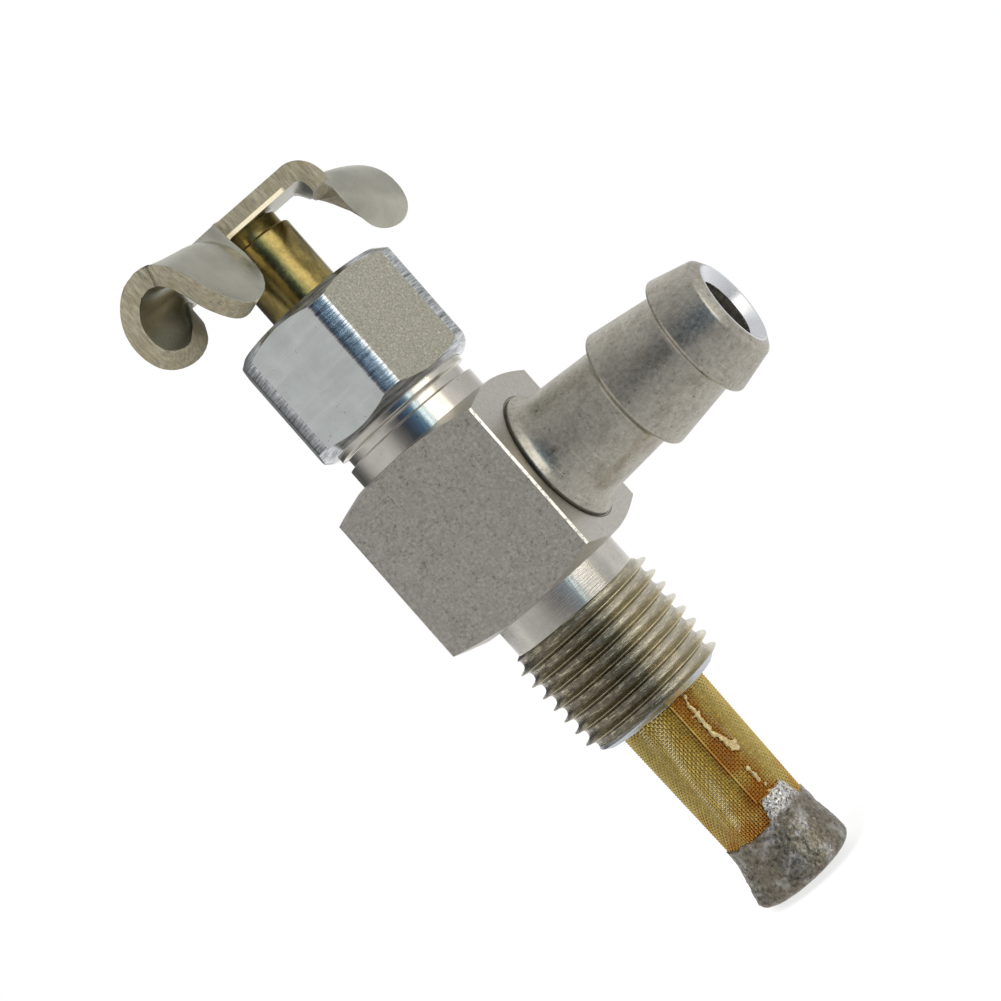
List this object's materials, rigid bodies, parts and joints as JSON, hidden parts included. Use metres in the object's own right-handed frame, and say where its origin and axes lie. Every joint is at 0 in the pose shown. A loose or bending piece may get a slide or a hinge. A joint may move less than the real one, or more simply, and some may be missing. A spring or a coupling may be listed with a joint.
{
  "type": "fuel tap",
  "caption": "Small screw-down fuel tap: square body, male taper tank thread, side hose spigot, gland nut, bent sheet handle and a gauze strainer with a soldered end.",
  "frame": {"origin": "on the spindle axis at the upper end of the tank thread", "axes": "+Z along the spindle towards the handle, +X along the outlet spigot away from the body"},
  "size_m": [0.0262, 0.0226, 0.0525],
  "materials": {
    "plated_body": "pale plated brass, fine pits and scratches",
    "plated_spigot": "worn plating with dirt in the turning marks",
    "plated_nut": "satin plating, frosted flats",
    "plated_sheet": "smooth pale plating with yellow reflections",
    "spindle_brass": "polished rod with dark stains",
    "plain_brass": "turned",
    "gauze_brass": "woven wire",
    "solder": "dull cast solder with pits",
    "seam_solder": "bright solder smears",
    "packing": "graphited packing",
    "seat_rubber": "fuel-proof rubber"
  },
  "bodies": {
    "valve_body": {"valve_body": "plated_body", "outlet_spigot": "plated_spigot", "gland_nut": "plated_nut", "gland_packing": "packing", "gland_follower": "plain_brass", "strainer_gauze": "gauze_brass", "strainer_ferrule": "plain_brass", "strainer_solder_tip": "solder", "strainer_seam_solder": "seam_solder"},
    "seat_pad": {"seat_pad": "seat_rubber"},
    "spindle": {"spindle": "spindle_brass", "handle": "plated_sheet"}
  },
  "joints": [
    {"name": "stem_lift", "type": "slide", "parent": "valve_body", "child": "seat_pad", "axis": [0, 0, 1], "range_m": [0, 0.00182]},
    {"name": "stem_turn", "type": "hinge", "parent": "seat_pad", "child": "spindle", "pos_m": [0, 0, 0.0077], "axis": [0, 0, 1], "range_deg": [0, 720]}
  ],
  "couplings": [
    {"joint": "stem_lift", "follows": "stem_turn", "m_per_rad": 0.00014438}
  ]
}
